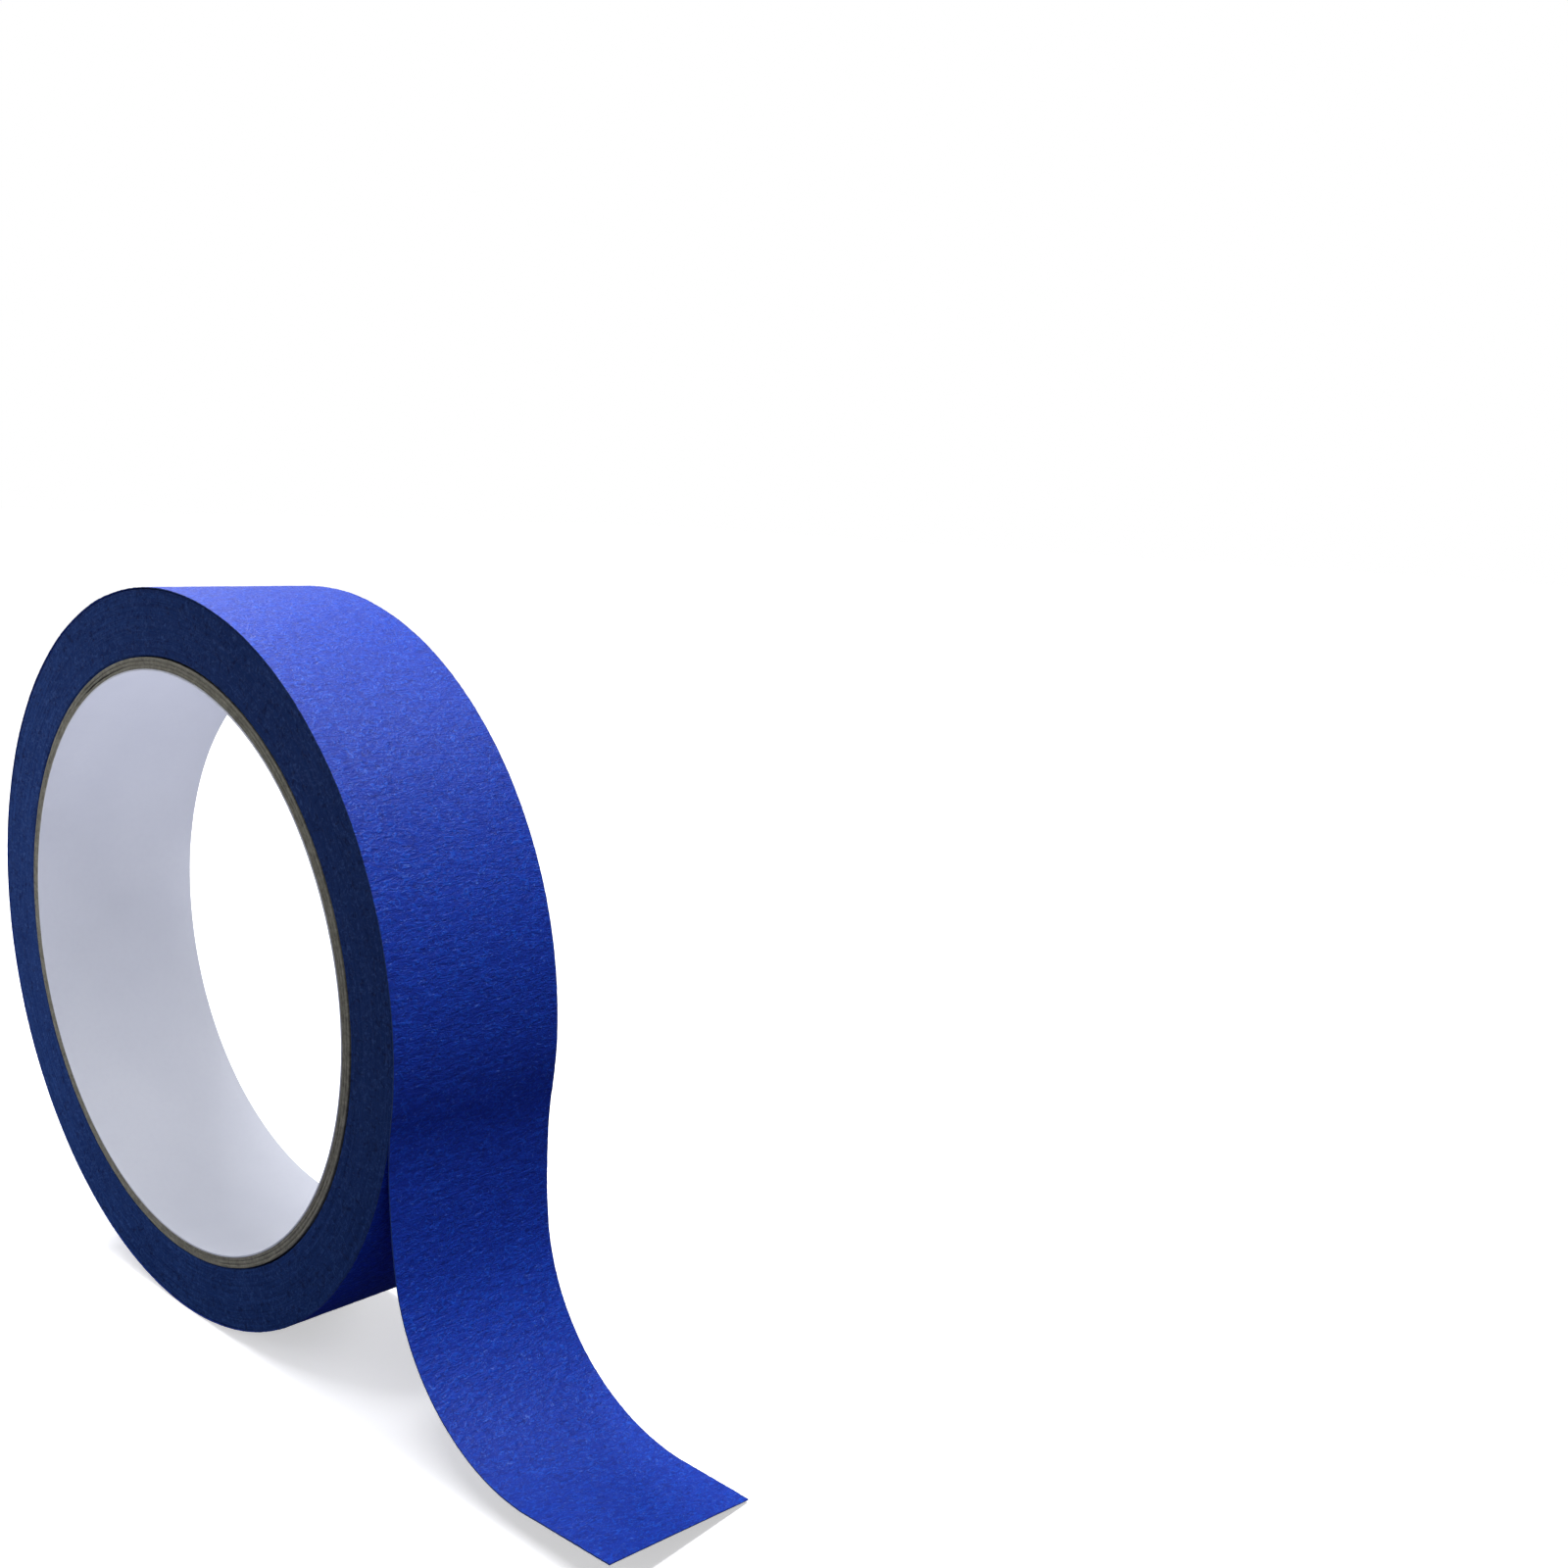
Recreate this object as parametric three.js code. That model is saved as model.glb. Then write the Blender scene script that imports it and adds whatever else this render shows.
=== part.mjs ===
// A roll of crepe-paper masking tape, standing on its tread with its free end pulled off.
//
// Millimetres, +Z up. The roll's axis runs along Y and its free end comes off on the +X side.
// The tape is wound over the top from the back to the front, leaves the tread just below the
// axis, hangs clear of the roll and bends outwards until it lies along the floor.
// The group is moved at the end so that the origin is under the middle of the whole object.

import * as THREE from 'three';

// Core: a three-inch spiral-wound paper tube.
const BORE_RADIUS = 38.5;
const LINER_THICKNESS = 0.23;
const PLY_THICKNESS = 0.47;
const PLY_NAMES = ['core_ply_inner', 'core_ply_middle', 'core_ply_outer'];
const GLUE_LINE = 0.02;

// Tape: backing and adhesive make one layer of the winding.
const TAPE_WIDTH = 24;
const BACKING_THICKNESS = 0.1;
const ADHESIVE_THICKNESS = 0.04;
const TAPE_THICKNESS = BACKING_THICKNESS + ADHESIVE_THICKNESS;
const ROLL_RADIUS = 48.9;
const TURNING_GAP = 0.04;

// Round faces are polygons with a flat at the very bottom, so that the roll rests on a face.
const SIDES = 96;
const AXIS_HEIGHT = ROLL_RADIUS * Math.cos(Math.PI / SIDES);

// Free end: a wide arc where it hangs, a tighter arc out to the floor and a flat stretch.
// A heading is measured from straight down, towards +X.
const LEAVING_ANGLE = THREE.MathUtils.degToRad(10);
const ROOT_CLEARANCE = 0.1;
const HANG_RADIUS = 60;
const HANG_END_HEADING = THREE.MathUtils.degToRad(7);
const SWEEP_END_HEADING = THREE.MathUtils.degToRad(88);
const FLAT_LENGTH = 12.5;
const FLAT_HEIGHT = 0.3;
const HANG_STEPS = 8;
const SWEEP_STEPS = 18;
const FLAT_STEPS = 4;
const END_TWIST = THREE.MathUtils.degToRad(9.7);
const CUT_SLANT = 1.8;

const NAVY_EDGE = { color: 0x202f56, roughness: 0.85, metalness: 0 };
const BLUE_CREPE = { color: 0x1c3fa8, roughness: 0.6, metalness: 0 };
const ADHESIVE = { color: 0x10246e, roughness: 0.35, metalness: 0 };
const GREY_BOARD = { color: 0x6a695f, roughness: 0.95, metalness: 0 };
const PALE_PAPER = { color: 0xb9bac8, roughness: 0.7, metalness: 0 };

const roll = new THREE.Group();

function addPart(name, geometry, look) {
  const part = new THREE.Mesh(geometry, new THREE.MeshStandardMaterial(look));
  part.name = name;
  roll.add(part);
  return part;
}

// A flat-sided tube about the roll's axis, as wide as the tape.
function addRing(name, innerRadius, outerRadius, look) {
  const half = TAPE_WIDTH / 2;
  const profile = [
    new THREE.Vector2(innerRadius, -half),
    new THREE.Vector2(outerRadius, -half),
    new THREE.Vector2(outerRadius, half),
    new THREE.Vector2(innerRadius, half),
    new THREE.Vector2(innerRadius, -half),
  ];
  const halfSide = Math.PI / SIDES;
  const geometry = new THREE.LatheGeometry(profile, SIDES, halfSide);
  const ring = addPart(name, geometry, look);
  ring.position.z = AXIS_HEIGHT;
  return ring;
}

// The places along the free end, from where it leaves the tread to its cut end.
// Each has its distance along the tape, its point in the XZ plane and its heading.
function tailStations() {
  const tangentRadius = ROLL_RADIUS + ROOT_CLEARANCE + TAPE_THICKNESS / 2;
  let x = tangentRadius * Math.cos(LEAVING_ANGLE);
  let z = AXIS_HEIGHT - tangentRadius * Math.sin(LEAVING_ANGLE);
  let heading = -LEAVING_ANGLE;
  let along = 0;
  const stations = [{ along, x, z, heading }];

  function bend(radius, endHeading, steps) {
    const startHeading = heading;
    for (let i = 1; i <= steps; i += 1) {
      const next = startHeading + ((endHeading - startHeading) * i) / steps;
      x += radius * (Math.cos(heading) - Math.cos(next));
      z -= radius * (Math.sin(next) - Math.sin(heading));
      along += radius * (next - heading);
      heading = next;
      stations.push({ along, x, z, heading });
    }
  }

  bend(HANG_RADIUS, HANG_END_HEADING, HANG_STEPS);
  const flatZ = FLAT_HEIGHT + TAPE_THICKNESS / 2;
  const sweepRadius = (z - flatZ) / (Math.sin(SWEEP_END_HEADING) - Math.sin(HANG_END_HEADING));
  bend(sweepRadius, SWEEP_END_HEADING, SWEEP_STEPS);
  for (let i = 0; i < FLAT_STEPS; i += 1) {
    x += FLAT_LENGTH / FLAT_STEPS;
    along += FLAT_LENGTH / FLAT_STEPS;
    stations.push({ along, x, z, heading });
  }
  return stations;
}

// One layer of the free end, between two distances from the tape's middle surface.
// The outer face of the tape is on the positive side. The tape twists evenly about its far
// edge, so the near corner stands off the floor, and the cut end is slightly out of square.
function tailLayer(lowOffset, highOffset) {
  const stations = tailStations();
  const whole = stations[stations.length - 1].along;
  const points = [];
  for (const { along, x, z, heading } of stations) {
    const twist = (END_TWIST * along) / whole;
    const slant = along === whole ? CUT_SLANT / 2 : 0;
    const across = new THREE.Vector3(0, -Math.cos(twist), 0);
    const outward = new THREE.Vector3(Math.cos(heading), 0, Math.sin(heading));
    across.addScaledVector(outward, Math.sin(twist));
    const down = new THREE.Vector3(Math.sin(heading), 0, -Math.cos(heading));
    const normal = new THREE.Vector3().crossVectors(across, down).normalize();
    const farEdge = new THREE.Vector3(x, TAPE_WIDTH / 2, z);
    const nearEdge = farEdge.clone().addScaledVector(across, TAPE_WIDTH);
    farEdge.addScaledVector(down, -slant);
    nearEdge.addScaledVector(down, slant);
    points.push(farEdge.clone().addScaledVector(normal, lowOffset));
    points.push(nearEdge.clone().addScaledVector(normal, lowOffset));
    points.push(nearEdge.clone().addScaledVector(normal, highOffset));
    points.push(farEdge.clone().addScaledVector(normal, highOffset));
  }
  const faces = [];
  // Each quad is split from its first corner to its third. Both skins are split from the far
  // edge on to the near edge, so that the thin layers of the twisted tape never cross.
  function addQuad(a, b, c, d) {
    faces.push(a, b, c, a, c, d);
  }
  for (let i = 0; i < stations.length - 1; i += 1) {
    const at = 4 * i;
    addQuad(at, at + 4, at + 5, at + 1);
    addQuad(at + 1, at + 5, at + 6, at + 2);
    addQuad(at + 6, at + 7, at + 3, at + 2);
    addQuad(at + 3, at + 7, at + 4, at);
  }
  const last = 4 * (stations.length - 1);
  faces.push(0, 1, 2, 0, 2, 3);
  faces.push(last, last + 2, last + 1, last, last + 3, last + 2);
  const geometry = new THREE.BufferGeometry().setFromPoints(points);
  geometry.setIndex(faces);
  geometry.computeVertexNormals();
  return geometry;
}

let radius = BORE_RADIUS;
addRing('core_liner', radius, radius + LINER_THICKNESS, PALE_PAPER);
radius += LINER_THICKNESS + GLUE_LINE;
for (const name of PLY_NAMES) {
  addRing(name, radius, radius + PLY_THICKNESS, GREY_BOARD);
  radius += PLY_THICKNESS + GLUE_LINE;
}
const lastTurnInner = ROLL_RADIUS - TAPE_THICKNESS;
addRing('tape_pack', radius, lastTurnInner - TURNING_GAP, NAVY_EDGE);
addRing('last_turn', lastTurnInner, ROLL_RADIUS, BLUE_CREPE);

const adhesiveTop = ADHESIVE_THICKNESS - TAPE_THICKNESS / 2;
addPart('tape_tail', tailLayer(adhesiveTop + GLUE_LINE, TAPE_THICKNESS / 2), BLUE_CREPE);
addPart('tail_adhesive', tailLayer(-TAPE_THICKNESS / 2, adhesiveTop), ADHESIVE);

roll.updateMatrixWorld(true);
const box = new THREE.Box3().setFromObject(roll);
const middle = box.getCenter(new THREE.Vector3());
roll.position.set(-middle.x, -middle.y, -box.min.z);

export default roll;
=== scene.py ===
# A roll of blue crepe-paper masking tape standing on its tread with its free end pulled off.
# Metres, +Z up, the roll's axis along Y and the free end on the +X side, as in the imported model.

import math

import bpy
import numpy as np
from mathutils import Matrix, Vector


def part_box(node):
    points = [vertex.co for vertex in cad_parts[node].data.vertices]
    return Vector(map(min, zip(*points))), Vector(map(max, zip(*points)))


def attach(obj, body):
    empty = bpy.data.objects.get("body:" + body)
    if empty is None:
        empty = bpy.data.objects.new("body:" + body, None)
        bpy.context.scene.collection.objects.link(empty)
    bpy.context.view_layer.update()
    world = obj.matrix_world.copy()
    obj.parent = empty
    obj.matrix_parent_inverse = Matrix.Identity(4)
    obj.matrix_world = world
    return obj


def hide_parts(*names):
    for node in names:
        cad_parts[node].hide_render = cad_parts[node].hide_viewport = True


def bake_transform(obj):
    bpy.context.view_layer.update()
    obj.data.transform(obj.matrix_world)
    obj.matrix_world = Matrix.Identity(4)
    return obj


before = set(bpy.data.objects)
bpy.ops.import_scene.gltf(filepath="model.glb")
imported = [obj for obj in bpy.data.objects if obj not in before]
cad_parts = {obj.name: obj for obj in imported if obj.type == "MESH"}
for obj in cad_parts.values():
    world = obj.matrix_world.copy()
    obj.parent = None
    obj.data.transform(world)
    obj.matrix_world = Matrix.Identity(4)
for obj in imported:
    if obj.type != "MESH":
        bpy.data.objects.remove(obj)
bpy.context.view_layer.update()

MM = 0.001

# ---------------------------------------------------------------- sizes from the frame

SIDES = 96
last_lo, last_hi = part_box("last_turn")
AXIS = Vector([(low + high) / 2 for low, high in zip(last_lo, last_hi)])
ROLL_RADIUS = (last_hi.z - last_lo.z) / 2
# The model's rings are prisms whose corners lie on this circle. Its free end leaves just outside.
CORNER_RADIUS = ROLL_RADIUS / math.cos(math.pi / SIDES)
HALF_WIDTH = (last_hi.y - last_lo.y) / 2
TAPE_WIDTH = 2 * HALF_WIDTH

BACKING = 0.10 * MM
ADHESIVE = 0.04 * MM
TAPE = BACKING + ADHESIVE
LINER = 0.23 * MM
PLY = 0.47 * MM
GLUE_LINE = 0.02 * MM
BORE_RADIUS = 38.5 * MM
CORE_RADIUS = BORE_RADIUS + LINER + 3 * (PLY + GLUE_LINE)
TURNING_GAP = 0.04 * MM
PACK_RADIUS = ROLL_RADIUS - TAPE - TURNING_GAP

# The free end, as in the model: a wide arc where it hangs, a tighter one out to the floor and
# a flat stretch. A heading is measured from straight down, towards +X.
LEAVING_ANGLE = math.radians(10)
ROOT_CLEARANCE = 0.1 * MM
ROOT_RADIUS = CORNER_RADIUS + ROOT_CLEARANCE + TAPE / 2
HANG_RADIUS = 60 * MM
HANG_END_HEADING = math.radians(7)
SWEEP_END_HEADING = math.radians(88)
FLAT_LENGTH = 12.5 * MM
FLAT_HEIGHT = 0.3 * MM
END_TWIST = math.radians(9.7)
CUT_SLANT = 1.8 * MM
# Its root is drawn in to the tread over this length.
ROOT_EASE = 12 * MM


def smooth_step(x):
    x = np.clip(x, 0, 1)
    return x * x * (3 - 2 * x)


# ---------------------------------------------------------------- noise for relief in the meshes

class Relief:
    """Smooth random heights over a plane, from -1 to 1, with its own step in each direction."""

    ROWS, COLUMNS = 509, 251

    def __init__(self, seed, step_u, step_v):
        self.values = np.random.default_rng(seed).uniform(-1, 1, (self.ROWS, self.COLUMNS))
        self.step_u, self.step_v = step_u, step_v

    def __call__(self, u, v):
        u, v = np.broadcast_arrays(u / self.step_u, v / self.step_v)
        cell_u, cell_v = np.floor(u).astype(int), np.floor(v).astype(int)
        part_u, part_v = smooth_step(u - cell_u), smooth_step(v - cell_v)

        def at(i, j):
            return self.values[(cell_u + i) % self.ROWS, (cell_v + j) % self.COLUMNS]

        low = at(0, 0) * (1 - part_u) + at(1, 0) * part_u
        high = at(0, 1) * (1 - part_u) + at(1, 1) * part_u
        return low * (1 - part_v) + high * part_v


CREPE_FOLDS = Relief(11, 0.6 * MM, 2.2 * MM)
CREPE_WRINKLES = Relief(12, 0.32 * MM, 1.0 * MM)
CREPE_SLANTS = Relief(13, 0.7 * MM, 0.7 * MM)
CREPE_SWELL = Relief(14, 6 * MM, 9 * MM)
FOLD_HEIGHT = 0.026 * MM
WRINKLE_HEIGHT = 0.018 * MM
SLANT_HEIGHT = 0.014 * MM
SWELL_HEIGHT = 0.035 * MM
WRINKLE_SKEW = 0.35
# The whole relief sits lower than smooth tape by this much.
RELIEF_DROP = 0.02 * MM


def crepe_height(along, across):
    """Height of the creped paper over its own middle level, at places on the tape."""
    skewed = along + WRINKLE_SKEW * across
    return (
        FOLD_HEIGHT * (0.5 - np.abs(CREPE_FOLDS(along, across)))
        + WRINKLE_HEIGHT * CREPE_WRINKLES(skewed, across)
        + SLANT_HEIGHT * CREPE_SLANTS(along - across, along + across)
        + SWELL_HEIGHT * CREPE_SWELL(along, across)
    )


# ---------------------------------------------------------------- mesh helpers

# Edges sharper than this, in degrees, are shaded as creases.
TAPE_CREASE = 50
CORE_CREASE = 40


def new_piece(name, points, faces, uv=None):
    """A mesh object from points, quads and polygons, with a uv map in millimetres if given."""
    mesh = bpy.data.meshes.new(name)
    mesh.from_pydata([tuple(p) for p in points], [], faces)
    if uv is not None:
        layer = mesh.uv_layers.new(name="tape")
        corner = np.zeros(len(mesh.loops), dtype=np.int32)
        mesh.loops.foreach_get("vertex_index", corner)
        layer.data.foreach_set("uv", np.asarray(uv, dtype=np.float32)[corner].ravel())
    mesh.polygons.foreach_set("use_smooth", [True] * len(mesh.polygons))
    mesh.update()
    piece = bpy.data.objects.new(name, mesh)
    bpy.context.scene.collection.objects.link(piece)
    return piece


def tube_faces(rows, columns, wrap_rows):
    """Quads over a grid of closed loops; row i holds one loop. The ends are capped if open."""
    faces = []
    for i in range(rows if wrap_rows else rows - 1):
        below, above = i * columns, ((i + 1) % rows) * columns
        for j in range(columns):
            k = (j + 1) % columns
            faces.append((below + j, below + k, above + k, above + j))
    if not wrap_rows:
        faces.append(tuple(reversed(range(columns))))
        last = (rows - 1) * columns
        faces.append(tuple(range(last, last + columns)))
    return faces


def sharpen(piece, degrees):
    """Shades edges sharper than an angle as creases."""
    bpy.context.view_layer.objects.active = piece
    piece.select_set(True)
    bpy.ops.object.shade_smooth_by_angle(angle=math.radians(degrees))
    piece.select_set(False)


def outward(piece):
    """Turns every face of a closed mesh outwards."""
    bpy.context.view_layer.objects.active = piece
    piece.select_set(True)
    bpy.ops.object.mode_set(mode="EDIT")
    bpy.ops.mesh.select_all(action="SELECT")
    bpy.ops.mesh.normals_make_consistent(inside=False)
    bpy.ops.object.mode_set(mode="OBJECT")
    piece.select_set(False)


def around(radius, angle, y):
    """A point at an angle above +X on a circle about the roll's axis."""
    radius, angle, y = np.broadcast_arrays(radius, angle, y)
    return np.stack(
        [AXIS.x + radius * np.cos(angle), AXIS.y + y, AXIS.z + radius * np.sin(angle)], axis=-1
    )


# ---------------------------------------------------------------- the wound turns

WOUND_STEPS = 384
WOUND_TURNS = 59
GROOVE_DEPTH = 0.03 * MM
EDGE_INSET = 0.05 * MM
# The turns next to the core lie back from the wall, which leaves a crevice round the core.
CREVICE_DEPTH = 0.6 * MM
CREVICE_TURNS = 1.6
# How far the slit edges wander: in groups of turns, along each turn, and in small nibbles.
GROUP_HEIGHT = 0.08 * MM
DRIFT_HEIGHT = 0.03 * MM
NIBBLE_HEIGHT = 0.016 * MM
# Keeps the random edges of the two side walls apart.
SIDE_SHIFT = 100
EDGE_GROUPS = Relief(21, 40 * MM, 6)
EDGE_DRIFT = Relief(22, 14 * MM, 1.6)
EDGE_NIBBLE = Relief(23, 2.2 * MM, 0.9)


def make_wound_turns():
    """The tape that stays on the core: one spiral, its slit edges making both side walls."""
    pitch = (PACK_RADIUS - CORE_RADIUS) / (WOUND_TURNS + 1)
    count = WOUND_STEPS * (WOUND_TURNS + 1) + 1
    step = np.arange(count)
    angle = 2 * math.pi * step / WOUND_STEPS
    turn = step / WOUND_STEPS
    groove_radius = CORE_RADIUS + pitch * turn
    crest_count = WOUND_STEPS * WOUND_TURNS + 1
    points, uvs = [], []
    for side in (-1, 1):
        seeded = turn + SIDE_SHIFT * (side + 1)
        arc = (angle % (2 * math.pi)) * ROLL_RADIUS
        lateral = (
            GROUP_HEIGHT * EDGE_GROUPS(arc, seeded)
            + DRIFT_HEIGHT * EDGE_DRIFT(arc, seeded)
            + NIBBLE_HEIGHT * EDGE_NIBBLE(angle * ROLL_RADIUS, seeded)
        )
        crevice = CREVICE_DEPTH * np.clip(CREVICE_TURNS - turn, 0, 1)
        width = HALF_WIDTH - EDGE_INSET - np.abs(lateral) - crevice
        groove = around(groove_radius, angle, side * (width - GROOVE_DEPTH))
        crest = around(groove_radius + pitch / 2, angle, side * width)[:crest_count]
        points += [groove, crest]
        length = angle * groove_radius / MM
        uvs += [
            np.stack([length, groove_radius / MM], axis=-1),
            np.stack([length, (groove_radius + pitch / 2) / MM], axis=-1)[:crest_count],
        ]
    front_groove, front_crest = 0, count
    back_groove, back_crest = count + crest_count, 2 * count + crest_count
    faces = []
    for i in range(crest_count - 1):
        over = i + WOUND_STEPS
        for groove, crest in ((front_groove, front_crest), (back_groove, back_crest)):
            faces.append((groove + i, groove + i + 1, crest + i + 1, crest + i))
            faces.append((crest + i, crest + i + 1, groove + over + 1, groove + over))
    # The innermost and the outermost turn are joined from wall to wall.
    for i in range(WOUND_STEPS):
        for at in (i, count - 1 - WOUND_STEPS + i):
            front, back = front_groove + at, back_groove + at
            faces.append((front, front + 1, back + 1, back))
    # The strip's two ends are closed.
    for i in (0, crest_count - 1):
        over = i + WOUND_STEPS
        faces.append(
            (
                front_groove + i,
                front_crest + i,
                front_groove + over,
                back_groove + over,
                back_crest + i,
                back_groove + i,
            )
        )
    piece = new_piece("wound_turns", np.concatenate(points), faces, np.concatenate(uvs))
    outward(piece)
    return piece


# ---------------------------------------------------------------- the outermost turn

TURN_STEPS = 1230
TURN_ACROSS = 46
# The share of its thickness that the turn has lost where it passes under the leaving line.
COVERED_THINNING = 0.85
UNDERSIDE_GAP = 0.01 * MM
# The relief flattens where the tread rests on the floor. It starts to at this cosine of the
# angle from straight down, and is flattest at the very bottom.
REST_COSINE = 0.985
REST_FADE = 0.015
REST_FLATTENING = 0.8


def make_outer_turn():
    """One turn of tape back from the leaving line, thinnest where it passes under that line."""
    along = np.linspace(0, 2 * math.pi * ROLL_RADIUS, TURN_STEPS)
    angle = -LEAVING_ANGLE + along / ROLL_RADIUS
    across = np.linspace(-HALF_WIDTH, HALF_WIDTH, TURN_ACROSS)
    fraction = along / along[-1]
    top_radius = ROLL_RADIUS - TAPE * fraction * COVERED_THINNING
    height = crepe_height(-along[:, None], across[None, :])
    from_rest = np.cos(angle + math.pi / 2)
    fade = np.clip((from_rest - REST_COSINE) / REST_FADE, 0, 1)[:, None]
    height = height * (1 - REST_FLATTENING * fade) - RELIEF_DROP * (1 - fade)
    outer = around(top_radius[:, None] + height, angle[:, None], across[None, :])
    inner_radius = np.full(TURN_STEPS, PACK_RADIUS + UNDERSIDE_GAP)
    sides = np.array([HALF_WIDTH, -HALF_WIDTH])
    inner = around(inner_radius[:, None], angle[:, None], sides[None, :])
    points = np.concatenate([outer, inner], axis=1)
    columns = points.shape[1]
    uv = np.zeros((TURN_STEPS, columns, 2))
    uv[:, :, 0] = -along[:, None] / MM
    uv[:, :TURN_ACROSS, 1] = across / MM
    uv[:, TURN_ACROSS:, 1] = sides / MM
    faces = tube_faces(TURN_STEPS, columns, False)
    piece = new_piece("outer_turn", points.reshape(-1, 3), faces, uv.reshape(-1, 2))
    outward(piece)
    sharpen(piece, TAPE_CREASE)
    return piece


# ---------------------------------------------------------------- the free end

END_STEP = 0.16 * MM
END_ACROSS = 84
# The relief grows out of the root's own profile over this length.
ROOT_RELIEF_EASE = 0.5 * MM
# The share of the relief that shows on the adhesive's free side.
UNDERSIDE_RELIEF = 0.6
LAYER_GAP = 0.002 * MM


def free_end_path():
    """Middle line of the free end: distance along the tape, x, z and heading at each place."""
    flat_z = FLAT_HEIGHT + TAPE / 2
    start_z = AXIS.z - ROOT_RADIUS * math.sin(LEAVING_ANGLE)
    hang_drop = HANG_RADIUS * (math.sin(HANG_END_HEADING) + math.sin(LEAVING_ANGLE))
    sweep_radius = (start_z - hang_drop - flat_z) / (
        math.sin(SWEEP_END_HEADING) - math.sin(HANG_END_HEADING)
    )
    arcs = (
        (HANG_RADIUS, -LEAVING_ANGLE, HANG_END_HEADING),
        (sweep_radius, HANG_END_HEADING, SWEEP_END_HEADING),
    )
    x, z, along = AXIS.x + ROOT_RADIUS * math.cos(LEAVING_ANGLE), start_z, 0.0
    places = [(along, x, z, -LEAVING_ANGLE)]
    for radius, start, end in arcs:
        steps = max(2, round(radius * (end - start) / END_STEP))
        for i in range(1, steps + 1):
            heading = start + (end - start) * i / steps
            places.append(
                (
                    along + radius * (heading - start),
                    x + radius * (math.cos(start) - math.cos(heading)),
                    z - radius * (math.sin(heading) - math.sin(start)),
                    heading,
                )
            )
        along, x, z, _ = places[-1]
    steps = round(FLAT_LENGTH / END_STEP)
    for i in range(1, steps + 1):
        run = FLAT_LENGTH * i / steps
        places.append((along + run, x + run, z, SWEEP_END_HEADING))
    return np.array(places)


def free_end_grid():
    """Middle surface and normals of the free end, as grids along and across the tape."""
    along, x, z, heading = free_end_path().T
    whole = along[-1]
    across = np.linspace(HALF_WIDTH, -HALF_WIDTH, END_ACROSS)
    from_far_edge = (HALF_WIDTH - across)[None, :]
    twist = (END_TWIST * along / whole)[:, None]
    zero = np.zeros_like(along)
    outward_way = np.stack([np.cos(heading), zero, np.sin(heading)], axis=-1)[:, None, :]
    down_way = np.stack([np.sin(heading), zero, -np.cos(heading)], axis=-1)[:, None, :]
    sideways = np.concatenate(
        [
            np.sin(twist)[..., None] * outward_way[..., 0:1],
            -np.cos(twist)[..., None],
            np.sin(twist)[..., None] * outward_way[..., 2:3],
        ],
        axis=-1,
    )
    far_edge = np.stack([x, zero + AXIS.y + HALF_WIDTH, z], axis=-1)[:, None, :]
    middle = far_edge + sideways * from_far_edge[..., None]
    normal = np.cross(
        np.broadcast_to(sideways, middle.shape), np.broadcast_to(down_way, middle.shape)
    )
    normal /= np.linalg.norm(normal, axis=-1, keepdims=True)
    ease = (1 - smooth_step(along / ROOT_EASE))[:, None, None]
    middle = middle - normal * ease * (ROOT_RADIUS - ROLL_RADIUS + TAPE / 2)
    near_cut = smooth_step((along - (whole - FLAT_LENGTH)) / FLAT_LENGTH)[:, None]
    slant = near_cut * CUT_SLANT * (from_far_edge / TAPE_WIDTH - 0.5)
    middle = middle + down_way * slant[..., None]
    return along, across, middle, normal


def make_free_end():
    """The hanging tape: its creped backing, and the adhesive coat on the side of the roll."""
    along, across, middle, normal = free_end_grid()
    height = crepe_height(along[:, None], across[None, :])[..., None]
    root_height = crepe_height(0 * along[:, None], across[None, :])[..., None]
    root = smooth_step(along / ROOT_RELIEF_EASE)[:, None, None]
    relief = height * root + root_height * (1 - root) - RELIEF_DROP
    flip = slice(None, None, -1)
    top = middle + normal * (relief + TAPE / 2)
    bond = middle + normal * (relief + ADHESIVE - TAPE / 2)
    under = middle + normal * (relief * UNDERSIDE_RELIEF - TAPE / 2)
    uv_top = np.stack(np.broadcast_arrays(along[:, None] / MM, across[None, :] / MM), axis=-1)

    def layer(name, high, low, lift):
        grid = np.concatenate([high, (low + normal * lift)[:, flip]], axis=1)
        uv = np.concatenate([uv_top, uv_top[:, flip]], axis=1)
        faces = tube_faces(*grid.shape[:2], False)
        piece = new_piece(name, grid.reshape(-1, 3), faces, uv.reshape(-1, 2))
        outward(piece)
        sharpen(piece, TAPE_CREASE)
        return piece

    backing = layer("free_end_backing", top, bond, LAYER_GAP)
    adhesive = layer("free_end_adhesive", bond, under, 0.0)
    return backing, adhesive


# ---------------------------------------------------------------- the core

CORE_STEPS = 720
EDGE_ROWS = 7
FUR_DEPTH = 0.05 * MM
CROWN_DEPTH = 0.05 * MM
CROWN_POWER = 4
WAVE_DEPTH = 0.06 * MM
WAVE_LIMITS = (0.55, 0.45)
# The plies have come apart a little round this angle.
SPLIT_ANGLE = math.radians(114)
SPLIT_SPREAD = math.radians(8)
SPLIT_GAP = 0.12 * MM
SPLIT_EVEN, SPLIT_UNEVEN = 0.7, 0.6
EDGE_ROUGH = Relief(31, 0.9 * MM, 1.0)
EDGE_WAVE = Relief(32, 11 * MM, 1.0)
PLY_FRAY = Relief(33, 1.6 * MM, 0.16 * MM)


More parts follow.
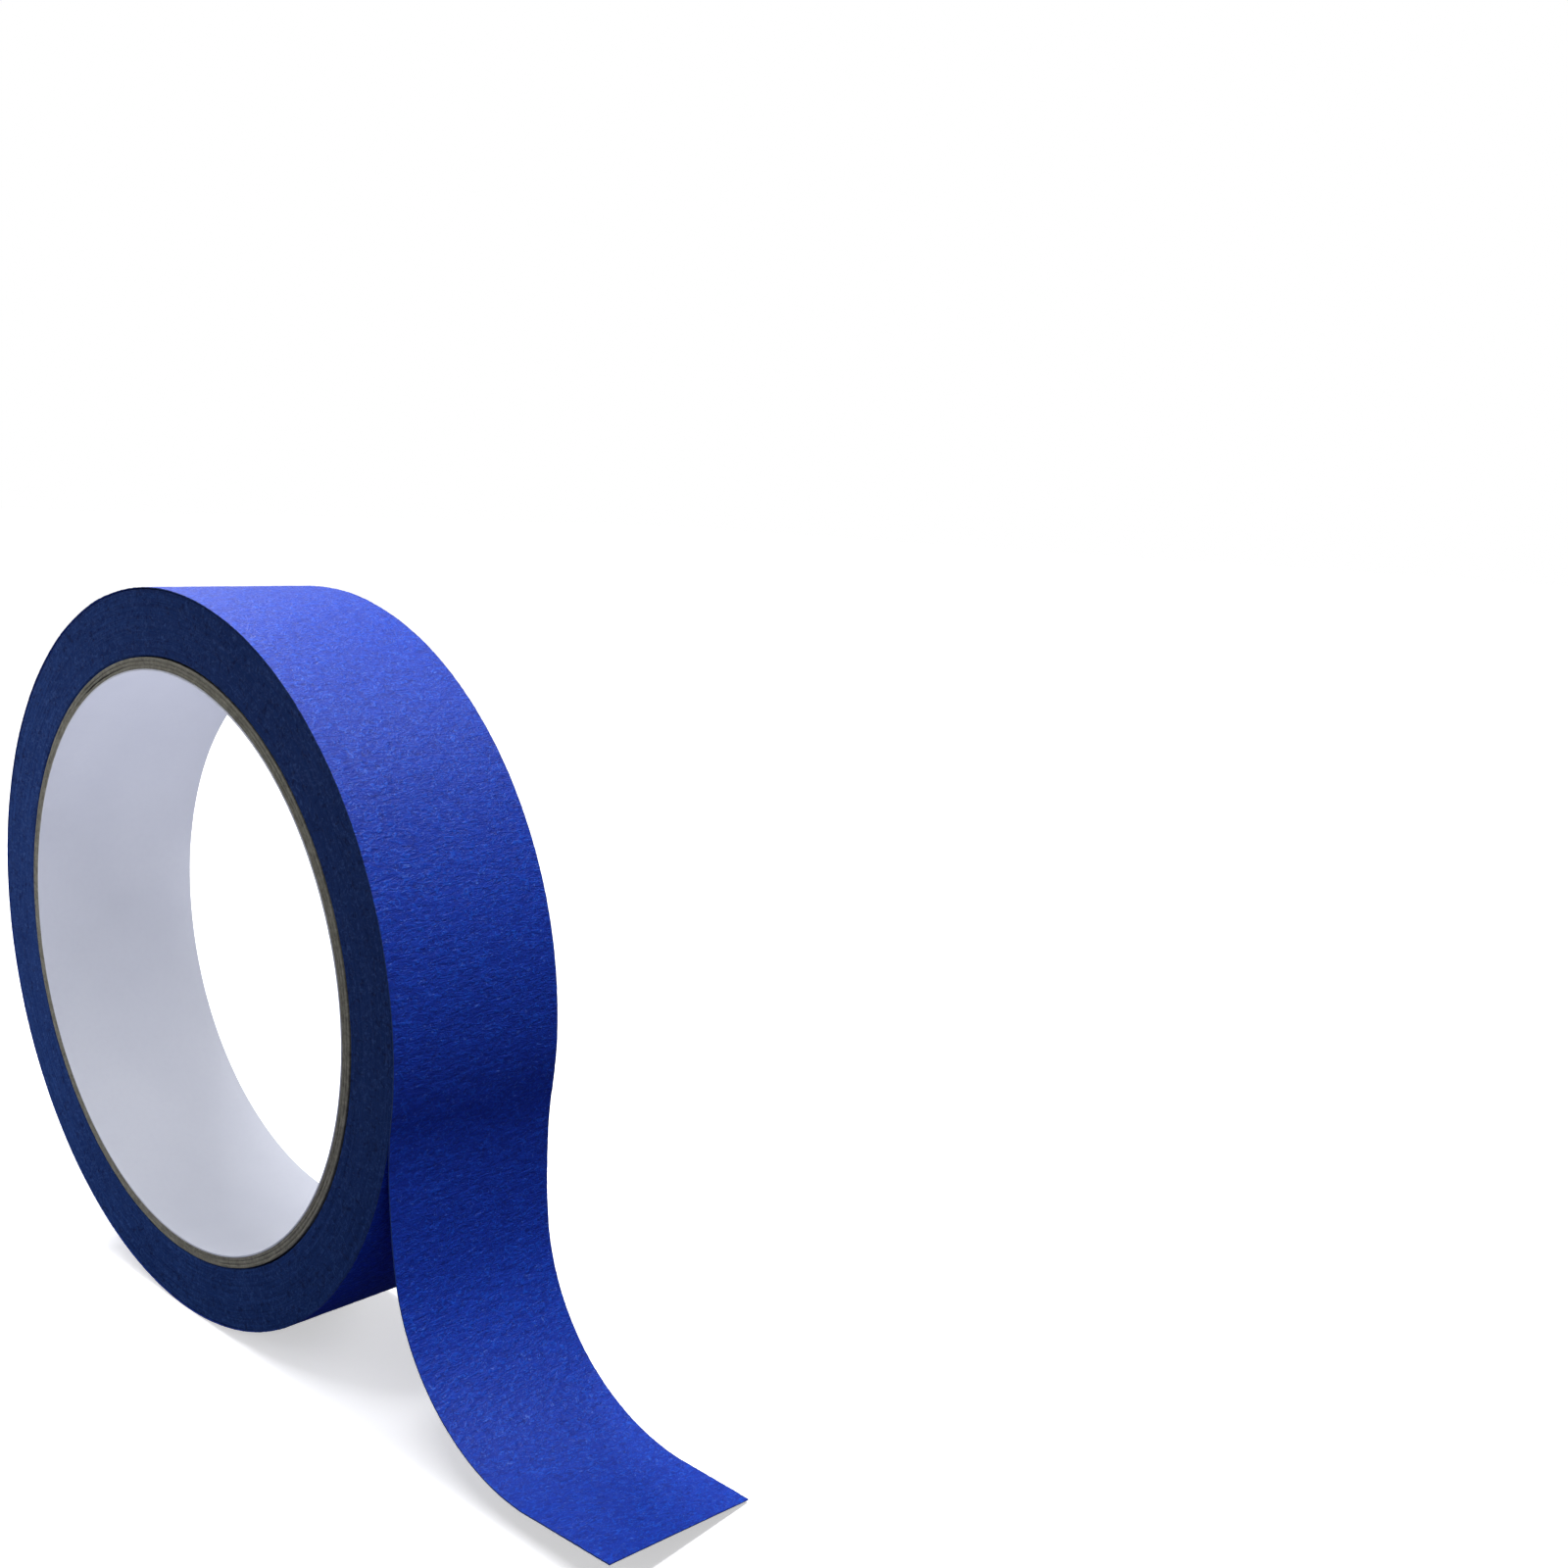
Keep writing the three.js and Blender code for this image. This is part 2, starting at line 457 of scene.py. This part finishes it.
def make_ring(name, inner_radius, outer_radius, half_width, seed, split_in=0.0, split_out=0.0):
    """One paper ply of the core: smooth inside and outside, with a cut, slightly furry edge."""
    angle = 2 * math.pi * np.arange(CORE_STEPS) / CORE_STEPS
    blend = np.linspace(0, 1, EDGE_ROWS)
    wave = 0.5 + 0.5 * EDGE_WAVE(angle * inner_radius, seed)
    split = np.exp(-(((angle - SPLIT_ANGLE) / SPLIT_SPREAD) ** 2))
    split *= SPLIT_EVEN + SPLIT_UNEVEN * EDGE_ROUGH(angle * inner_radius, seed)
    wave_in = WAVE_DEPTH * np.clip(wave - WAVE_LIMITS[0], 0, 1)
    wave_out = WAVE_DEPTH * np.clip(WAVE_LIMITS[1] - wave, 0, 1)
    low = inner_radius + wave_in + split_in * split
    high = outer_radius - wave_out - split_out * split
    radius = low[:, None] + (high - low)[:, None] * blend[None, :]
    arc = (angle * inner_radius)[:, None]
    fur = FUR_DEPTH * (0.5 + 0.5 * PLY_FRAY(arc, radius + seed * MM))
    crown = CROWN_DEPTH * (2 * blend - 1) ** CROWN_POWER
    loops = []
    for side in (-1, 1):
        width = side * (half_width - fur - crown[None, :])
        face = around(radius, angle[:, None], width)
        loops.append(face if side < 0 else face[:, ::-1])
    points = np.concatenate(loops, axis=1)
    faces = tube_faces(CORE_STEPS, points.shape[1], True)
    piece = new_piece(name, points.reshape(-1, 3), faces)
    outward(piece)
    sharpen(piece, CORE_CREASE)
    return piece


LINER_ACROSS = 40
SEAM_PITCH = 62 * MM
SEAM_HEIGHT = 0.045 * MM
SEAM_SPREAD = 1.3 * MM
LINER_RELIEF = 0.02 * MM
# The swell fades out towards the angle where the grid of the lining closes on itself.
CLOSING_ANGLE = 0.3
LINER_SWELL = Relief(41, 16 * MM, 7 * MM)


def make_liner():
    """The pale lining of the bore, with the faint ridge of its helical seam."""
    angle = 2 * math.pi * np.arange(CORE_STEPS) / CORE_STEPS
    y = np.linspace(-HALF_WIDTH, HALF_WIDTH, LINER_ACROSS)
    arc = angle[:, None] * BORE_RADIUS
    circumference = 2 * math.pi * BORE_RADIUS
    lead = (arc + y[None, :] * circumference / SEAM_PITCH) % circumference
    from_seam = np.minimum(lead, circumference - lead)
    ridge = SEAM_HEIGHT * np.exp(-((from_seam / SEAM_SPREAD) ** 2))
    closing = np.minimum(1, np.minimum(angle, 2 * math.pi - angle) / CLOSING_ANGLE)[:, None]
    swell = LINER_RELIEF * LINER_SWELL(arc, y[None, :]) * closing
    inner = around(BORE_RADIUS + LINER_RELIEF - ridge + swell, angle[:, None], y[None, :])
    outer_radius = np.full((CORE_STEPS, 1), BORE_RADIUS + LINER)
    outer = around(outer_radius, angle[:, None], np.array([HALF_WIDTH, -HALF_WIDTH])[None, :])
    points = np.concatenate([inner, outer], axis=1)
    faces = tube_faces(CORE_STEPS, points.shape[1], True)
    piece = new_piece("bore_lining", points.reshape(-1, 3), faces)
    outward(piece)
    sharpen(piece, CORE_CREASE)
    return piece


# ---------------------------------------------------------------- materials

# Noise runs in cycles per millimetre in tape coordinates, along and across the tape, and in
# cycles per metre in object coordinates. A colour is linear red, green and blue.

class Look:
    """A material under construction: its nodes, links and principled shader."""

    def __init__(self, name, **sockets):
        self.material = bpy.data.materials.new(name)
        self.material.use_nodes = True
        self.nodes, self.links = self.material.node_tree.nodes, self.material.node_tree.links
        self.shader = self.nodes["Principled BSDF"]
        for socket, value in sockets.items():
            self.shader.inputs[socket.replace("_", " ")].default_value = value

    def tape_coordinates(self):
        node = self.nodes.new("ShaderNodeUVMap")
        node.uv_map = "tape"
        return node.outputs["UV"]

    def size_across(self, tape):
        """Distance from the middle of the tape, in millimetres."""
        node = self.nodes.new("ShaderNodeSeparateXYZ")
        self.links.new(tape, node.inputs["Vector"])
        return self.maths("ABSOLUTE", node.outputs["Y"], 0.0)

    def object_coordinates(self):
        return self.nodes.new("ShaderNodeTexCoord").outputs["Object"]

    def stretched(self, vector, scale, turn=0.0):
        node = self.nodes.new("ShaderNodeMapping")
        node.inputs["Scale"].default_value = scale
        node.inputs["Rotation"].default_value = (0, 0, turn)
        self.links.new(vector, node.inputs["Vector"])
        return node.outputs["Vector"]

    def noise(self, vector, scale, detail=3.0, roughness=0.55, distortion=0.0):
        node = self.nodes.new("ShaderNodeTexNoise")
        node.noise_type = "FBM"
        for socket, value in (
            ("Scale", scale),
            ("Detail", detail),
            ("Roughness", roughness),
            ("Distortion", distortion),
        ):
            node.inputs[socket].default_value = value
        self.links.new(vector, node.inputs["Vector"])
        return node.outputs["Fac"]

    def ramp(self, value, stops):
        node = self.nodes.new("ShaderNodeValToRGB")
        elements = node.color_ramp.elements
        while len(elements) < len(stops):
            elements.new(0.5)
        for element, (position, colour) in zip(elements, stops):
            element.position = position
            element.color = (*colour, 1)
        self.links.new(value, node.inputs["Fac"])
        return node.outputs["Color"]

    def grey(self, value, low, high, low_out=0.0, high_out=1.0):
        """Maps low to low_out and high to high_out, in a straight line, and clamps the rest."""
        node = self.nodes.new("ShaderNodeMapRange")
        for socket, number in (
            ("From Min", low),
            ("From Max", high),
            ("To Min", low_out),
            ("To Max", high_out),
        ):
            node.inputs[socket].default_value = number
        self.links.new(value, node.inputs["Value"])
        return node.outputs["Result"]

    def mix(self, factor, first, second, mode="MIX"):
        node = self.nodes.new("ShaderNodeMix")
        node.data_type = "RGBA"
        node.blend_type = mode
        for socket, source in (("Factor", factor), ("A", first), ("B", second)):
            slot = [i for i in node.inputs if i.name == socket and i.enabled][0]
            if isinstance(source, (float, int)):
                slot.default_value = source
            elif isinstance(source, tuple):
                slot.default_value = (*source, 1)
            else:
                self.links.new(source, slot)
        return [o for o in node.outputs if o.enabled][0]

    def maths(self, operation, first, second):
        node = self.nodes.new("ShaderNodeMath")
        node.operation = operation
        for slot, source in zip(node.inputs, (first, second)):
            if isinstance(source, (float, int)):
                slot.default_value = source
            else:
                self.links.new(source, slot)
        return node.outputs["Value"]

    def colour(self, source):
        self.links.new(source, self.shader.inputs["Base Color"])

    def roughness(self, source):
        self.links.new(source, self.shader.inputs["Roughness"])

    def bump(self, height, strength, distance):
        node = self.nodes.new("ShaderNodeBump")
        node.inputs["Strength"].default_value = strength
        node.inputs["Distance"].default_value = distance
        self.links.new(height, node.inputs["Height"])
        self.links.new(node.outputs["Normal"], self.shader.inputs["Normal"])


# The navy of the slit edges takes over between these distances from the tape's middle, in
# millimetres.
NAVY_EDGE = (0.003, 0.026, 0.125)
EDGE_BAND = (HALF_WIDTH / MM - 0.04, HALF_WIDTH / MM - 0.02)


def crepe_look():
    """Blue creped paper: fine wrinkles, pale fibres, pale specks that are painted glints, dark
    pits, and navy slit edges.
    """
    look = Look("blue_crepe", Specular_IOR_Level=0.42)
    tape = look.tape_coordinates()
    wrinkles = look.noise(look.stretched(tape, (2.0, 0.50, 1)), 1.0, 3.0, 0.55, 1.0)
    fibres = look.noise(look.stretched(tape, (1.6, 0.9, 1), 0.5), 1.0, 2.5, 0.6, 2.4)
    pits = look.noise(look.stretched(tape, (1.6, 1.2, 1), 0.9), 1.0, 2.0, 0.6, 1.4)
    painted_glints = look.noise(look.stretched(tape, (2.4, 1.5, 1), 1.3), 1.0, 2.0, 0.5, 1.5)
    cloud = look.noise(look.stretched(tape, (0.10, 0.14, 1)), 1.0, 3.0, 0.6)
    tone = look.ramp(
        wrinkles,
        (
            (0.34, (0.001, 0.023, 0.31)),
            (0.50, (0.002, 0.031, 0.38)),
            (0.66, (0.004, 0.044, 0.47)),
        ),
    )
    tone = look.mix(look.grey(cloud, 0.35, 0.65, 0.0, 0.4), tone, (0.002, 0.029, 0.38))
    tone = look.mix(look.grey(fibres, 0.52, 0.64, 0.0, 0.75), tone, (0.010, 0.088, 0.62))
    tone = look.mix(look.grey(pits, 0.43, 0.33, 0.0, 0.6), tone, (0.001, 0.012, 0.20))
    # Whitish specks in the colour of sheen-lit tape, scattered everywhere: painted glints.
    tone = look.mix(look.grey(painted_glints, 0.64, 0.72, 0.0, 0.6), tone, (0.080, 0.180, 0.72))
    slit_edge = look.grey(look.size_across(tape), *EDGE_BAND)
    look.colour(look.mix(slit_edge, tone, NAVY_EDGE))
    gloss = look.grey(fibres, 0.4, 0.6, 0.60, 0.48)
    look.roughness(look.maths("MAXIMUM", gloss, slit_edge))
    relief = look.maths("ADD", wrinkles, look.maths("MULTIPLY", fibres, 0.9))
    look.bump(relief, 0.8, 0.14 * MM)
    return look.material


def wall_look():
    """Slit edges of the wound tape: dark navy, matt, with rings of layers and torn fibres."""
    look = Look("navy_slit_edges", Specular_IOR_Level=0.06)
    tape = look.tape_coordinates()
    place = look.object_coordinates()
    rings = look.noise(look.stretched(tape, (0.03, 3.0, 1)), 1.0, 3.0, 0.7)
    streaks = look.noise(look.stretched(tape, (0.22, 2.2, 1)), 1.0, 3.0, 0.6, 0.5)
    fibres = look.noise(place, 1100.0, 2.5, 0.6, 2.4)
    pits = look.noise(place, 1000.0, 2.0, 0.6, 1.4)
    cloud = look.noise(place, 70.0, 3.0, 0.6)
    layers = look.mix(0.4, rings, streaks)
    tone = look.ramp(
        layers,
        (
            (0.40, (0.002, 0.013, 0.080)),
            (0.50, (0.007, 0.029, 0.132)),
            (0.60, (0.015, 0.049, 0.190)),
        ),
    )
    tone = look.mix(look.grey(cloud, 0.35, 0.65, 0.0, 0.45), tone, (0.004, 0.021, 0.108))
    tone = look.mix(look.grey(fibres, 0.53, 0.66, 0.0, 0.6), tone, (0.026, 0.068, 0.230))
    look.colour(look.mix(look.grey(pits, 0.43, 0.33, 0.0, 0.65), tone, (0.001, 0.006, 0.045)))
    look.roughness(look.grey(fibres, 0.4, 0.6, 0.85, 0.7))
    look.bump(look.maths("ADD", layers, look.maths("MULTIPLY", fibres, 0.7)), 0.8, 0.16 * MM)
    return look.material


def adhesive_look():
    """The adhesive coat: the paper's blue seen through a thin, satin film."""
    look = Look("adhesive_film", Specular_IOR_Level=0.06)
    tape = look.tape_coordinates()
    streaks = look.noise(look.stretched(tape, (0.12, 1.4, 1)), 1.0, 3.0, 0.6)
    grain = look.noise(look.stretched(tape, (1.4, 0.6, 1)), 1.0, 4.0, 0.6, 0.5)
    pattern = look.mix(0.4, streaks, grain)
    tone = look.ramp(pattern, ((0.3, (0.007, 0.020, 0.16)), (0.7, (0.016, 0.045, 0.27))))
    look.colour(tone)
    look.roughness(look.grey(pattern, 0.3, 0.7, 0.85, 0.7))
    look.bump(pattern, 0.3, 0.05 * MM)
    return look.material


def board_look(name, dark, middle, light):
    """Grey chipboard: recycled fibres in several tones, torn along the cut edge."""
    look = Look(name, Specular_IOR_Level=0.15)
    place = look.object_coordinates()
    fibres = look.noise(place, 1500.0, 5.0, 0.7, 1.0)
    flecks = look.noise(place, 420.0, 4.0, 0.7, 2.0)
    pattern = look.mix(0.45, fibres, flecks)
    look.colour(look.ramp(pattern, ((0.34, dark), (0.5, middle), (0.68, light))))
    look.roughness(look.grey(pattern, 0.3, 0.7, 0.95, 0.85))
    look.bump(pattern, 0.7, 0.08 * MM)
    return look.material


def liner_look():
    """Smooth pale lining paper with a faint cool cast and hardly any grain."""
    look = Look("pale_lining_paper", Specular_IOR_Level=0.3)
    place = look.object_coordinates()
    cloud = look.noise(place, 45.0, 3.0, 0.55)
    grain = look.noise(place, 1300.0, 4.0, 0.6)
    tone = look.ramp(cloud, ((0.3, (0.46, 0.477, 0.545)), (0.7, (0.51, 0.526, 0.59))))
    look.colour(look.mix(look.grey(grain, 0.4, 0.8, 0.0, 0.18), tone, (0.40, 0.41, 0.50)))
    look.roughness(look.grey(grain, 0.3, 0.7, 0.62, 0.5))
    look.bump(grain, 0.15, 0.03 * MM)
    return look.material


def dress(piece, material):
    piece.data.materials.clear()
    piece.data.materials.append(material)


# ---------------------------------------------------------------- the object

wall = wall_look()
crepe = crepe_look()
board = board_look(
    "grey_chipboard", (0.10, 0.096, 0.075), (0.165, 0.158, 0.125), (0.25, 0.24, 0.20)
)

turns = make_wound_turns()
dress(turns, wall)
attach(turns, "wound_roll")
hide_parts("tape_pack")

outer = make_outer_turn()
dress(outer, crepe)
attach(outer, "outer_turn")
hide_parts("last_turn")

radius = BORE_RADIUS + LINER + GLUE_LINE
splits = {"inner": (0.0, SPLIT_GAP), "middle": (SPLIT_GAP, SPLIT_GAP / 2), "outer": (0.0, 0.0)}
for index, (layer, gaps) in enumerate(splits.items()):
    node = "core_ply_" + layer
    ply = make_ring("board_ply_" + layer, radius, radius + PLY, HALF_WIDTH, 3 * index, *gaps)
    dress(ply, board)
    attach(ply, "wound_roll")
    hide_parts(node)
    radius += PLY + GLUE_LINE

lining = make_liner()
dress(lining, liner_look())
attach(lining, "wound_roll")
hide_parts("core_liner")

backing, adhesive = make_free_end()
leaving_point = around(np.array(ROLL_RADIUS), np.array(-LEAVING_ANGLE), np.array(0.0))
for piece, node, material, slot in (
    (backing, "tape_tail", crepe, "crepe_backing"),
    (adhesive, "tail_adhesive", adhesive_look(), "adhesive"),
):
    dress(piece, material)
    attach(piece, "free_end")
    piece.parent = None
    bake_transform(piece)
    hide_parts(node)

# ---------------------------------------------------------------- floor, light and camera

# The camera's place, from the point on the floor below the roll's middle.
CAMERA_PLACE = Vector((0.1927, -0.1141, 0.1118))
CAMERA_HEADING = math.radians(-42.9)
CAMERA_PITCH = math.radians(14.9)
CAMERA_ROLL = math.radians(2.7)
CAMERA_LENS = 37.8
CAMERA_SHIFT = (0.039, 0.096)
CAMERA_CLIP = (0.005, 50)
FLOOR_SIZE = 8
FLOOR_COLOUR = (0.88, 0.885, 0.92, 1)
# The floor glows from the first to the second strength between these distances.
FLOOR_REACH = (0.13, 0.40)
FLOOR_GLOW = (0.5, 1.0)
# The colour that the floor throws back, and the strength of the backdrop's light.
FLOOR_BOUNCE = (0.025, 0.035, 0.11)
WORLD_LIGHT = 0.16


def make_floor():
    """A pale, slightly glossy floor. It looks white, but throws little light back up."""
    look = Look("pale_floor", Base_Color=FLOOR_COLOUR, Roughness=0.16, Specular_IOR_Level=0.5)
    look.shader.inputs["Emission Color"].default_value = (1, 1, 1, 1)
    distance = look.nodes.new("ShaderNodeVectorMath")
    distance.operation = "LENGTH"
    look.links.new(look.object_coordinates(), distance.inputs[0])
    glow = look.grey(distance.outputs["Value"], *FLOOR_REACH, *FLOOR_GLOW)
    look.links.new(glow, look.shader.inputs["Emission Strength"])
    dull = look.nodes.new("ShaderNodeBsdfDiffuse")
    dull.inputs["Color"].default_value = (*FLOOR_BOUNCE, 1)
    rays = look.nodes.new("ShaderNodeLightPath")
    mixed = look.nodes.new("ShaderNodeMixShader")
    look.links.new(rays.outputs["Is Camera Ray"], mixed.inputs[0])
    look.links.new(dull.outputs[0], mixed.inputs[1])
    look.links.new(look.shader.outputs[0], mixed.inputs[2])
    look.links.new(mixed.outputs[0], look.nodes["Material Output"].inputs["Surface"])
    bpy.ops.mesh.primitive_plane_add(size=FLOOR_SIZE, location=(0, 0, 0))
    floor = bpy.context.object
    floor.name = "studio_floor"
    floor.data.materials.append(look.material)


def make_world():
    """A white backdrop to look at. It gives a little soft light all round, and no gloss."""
    world = bpy.data.worlds.new("studio")
    bpy.context.scene.world = world
    world.use_nodes = True
    nodes, links = world.node_tree.nodes, world.node_tree.links
    rays = nodes.new("ShaderNodeLightPath")
    strength = nodes.new("ShaderNodeMath")
    strength.operation = "MULTIPLY_ADD"
    strength.inputs[1].default_value = WORLD_LIGHT
    links.new(rays.outputs["Is Diffuse Ray"], strength.inputs[0])
    links.new(rays.outputs["Is Camera Ray"], strength.inputs[2])
    nodes["Background"].inputs["Color"].default_value = (1, 1, 1, 1)
    links.new(strength.outputs["Value"], nodes["Background"].inputs["Strength"])


def make_lamp(name, size, radiance, place, target, spread):
    """A soft rectangular lamp whose face shines as brightly as radiance says."""
    data = bpy.data.lights.new(name, "AREA")
    data.shape = "RECTANGLE"
    data.size, data.size_y = size
    data.energy = radiance * math.pi * size[0] * size[1]
    data.spread = math.radians(spread)
    lamp = bpy.data.objects.new(name, data)
    lamp.visible_camera = False
    lamp.location = place
    lamp.rotation_euler = (Vector(target) - Vector(place)).to_track_quat("-Z", "Y").to_euler()
    bpy.context.scene.collection.objects.link(lamp)


def make_camera():
    data = bpy.data.cameras.new("camera")
    data.lens = CAMERA_LENS
    data.shift_x, data.shift_y = CAMERA_SHIFT
    data.clip_start, data.clip_end = CAMERA_CLIP
    camera = bpy.data.objects.new("camera", data)
    bpy.context.scene.collection.objects.link(camera)
    level = math.cos(CAMERA_PITCH)
    ahead = Vector(
        (
            math.sin(CAMERA_HEADING) * level,
            math.cos(CAMERA_HEADING) * level,
            -math.sin(CAMERA_PITCH),
        )
    )
    flat_right = Vector((math.cos(CAMERA_HEADING), -math.sin(CAMERA_HEADING), 0))
    flat_up = flat_right.cross(ahead)
    right = flat_right * math.cos(CAMERA_ROLL) + flat_up * math.sin(CAMERA_ROLL)
    up = flat_up * math.cos(CAMERA_ROLL) - flat_right * math.sin(CAMERA_ROLL)
    turn = Matrix((right, up, -ahead)).transposed().to_4x4()
    place = Vector((AXIS.x, AXIS.y, 0)) + CAMERA_PLACE
    camera.matrix_world = Matrix.Translation(place) @ turn
    bpy.context.scene.camera = camera


bpy.context.scene.view_settings.view_transform = "Standard"
make_floor()
make_world()
roll_middle = tuple(AXIS)
floor_below = (AXIS.x, AXIS.y, 0.0)
behind_bore = (AXIS.x, AXIS.y + 0.065, AXIS.z - 0.022)
below_middle = (AXIS.x, AXIS.y, AXIS.z - 0.007)
# Each lamp: name, size, radiance, place, target and the angle over which it spreads.
for lamp in (
    ("overhead_strip", (0.40, 0.06), 27.0, (0.09, 0.0, 0.46), floor_below, 180),
    ("upper_back_softbox", (0.15, 0.15), 26.0, (-0.275, 0.045, 0.42), roll_middle, 180),
    ("back_softbox", (0.3, 0.12), 2.0, (-0.50, 0.13, 0.10), roll_middle, 180),
    ("side_softbox", (0.1, 0.14), 6.0, (-0.125, -0.12, 0.02), roll_middle, 180),
    ("bore_reflector", (0.07, 0.07), 5.0, behind_bore, below_middle, 84),
    ("front_fill", (0.15, 0.15), 1.6, (0.35, -0.12, 0.10), roll_middle, 180),
):
    make_lamp(*lamp)
make_camera()
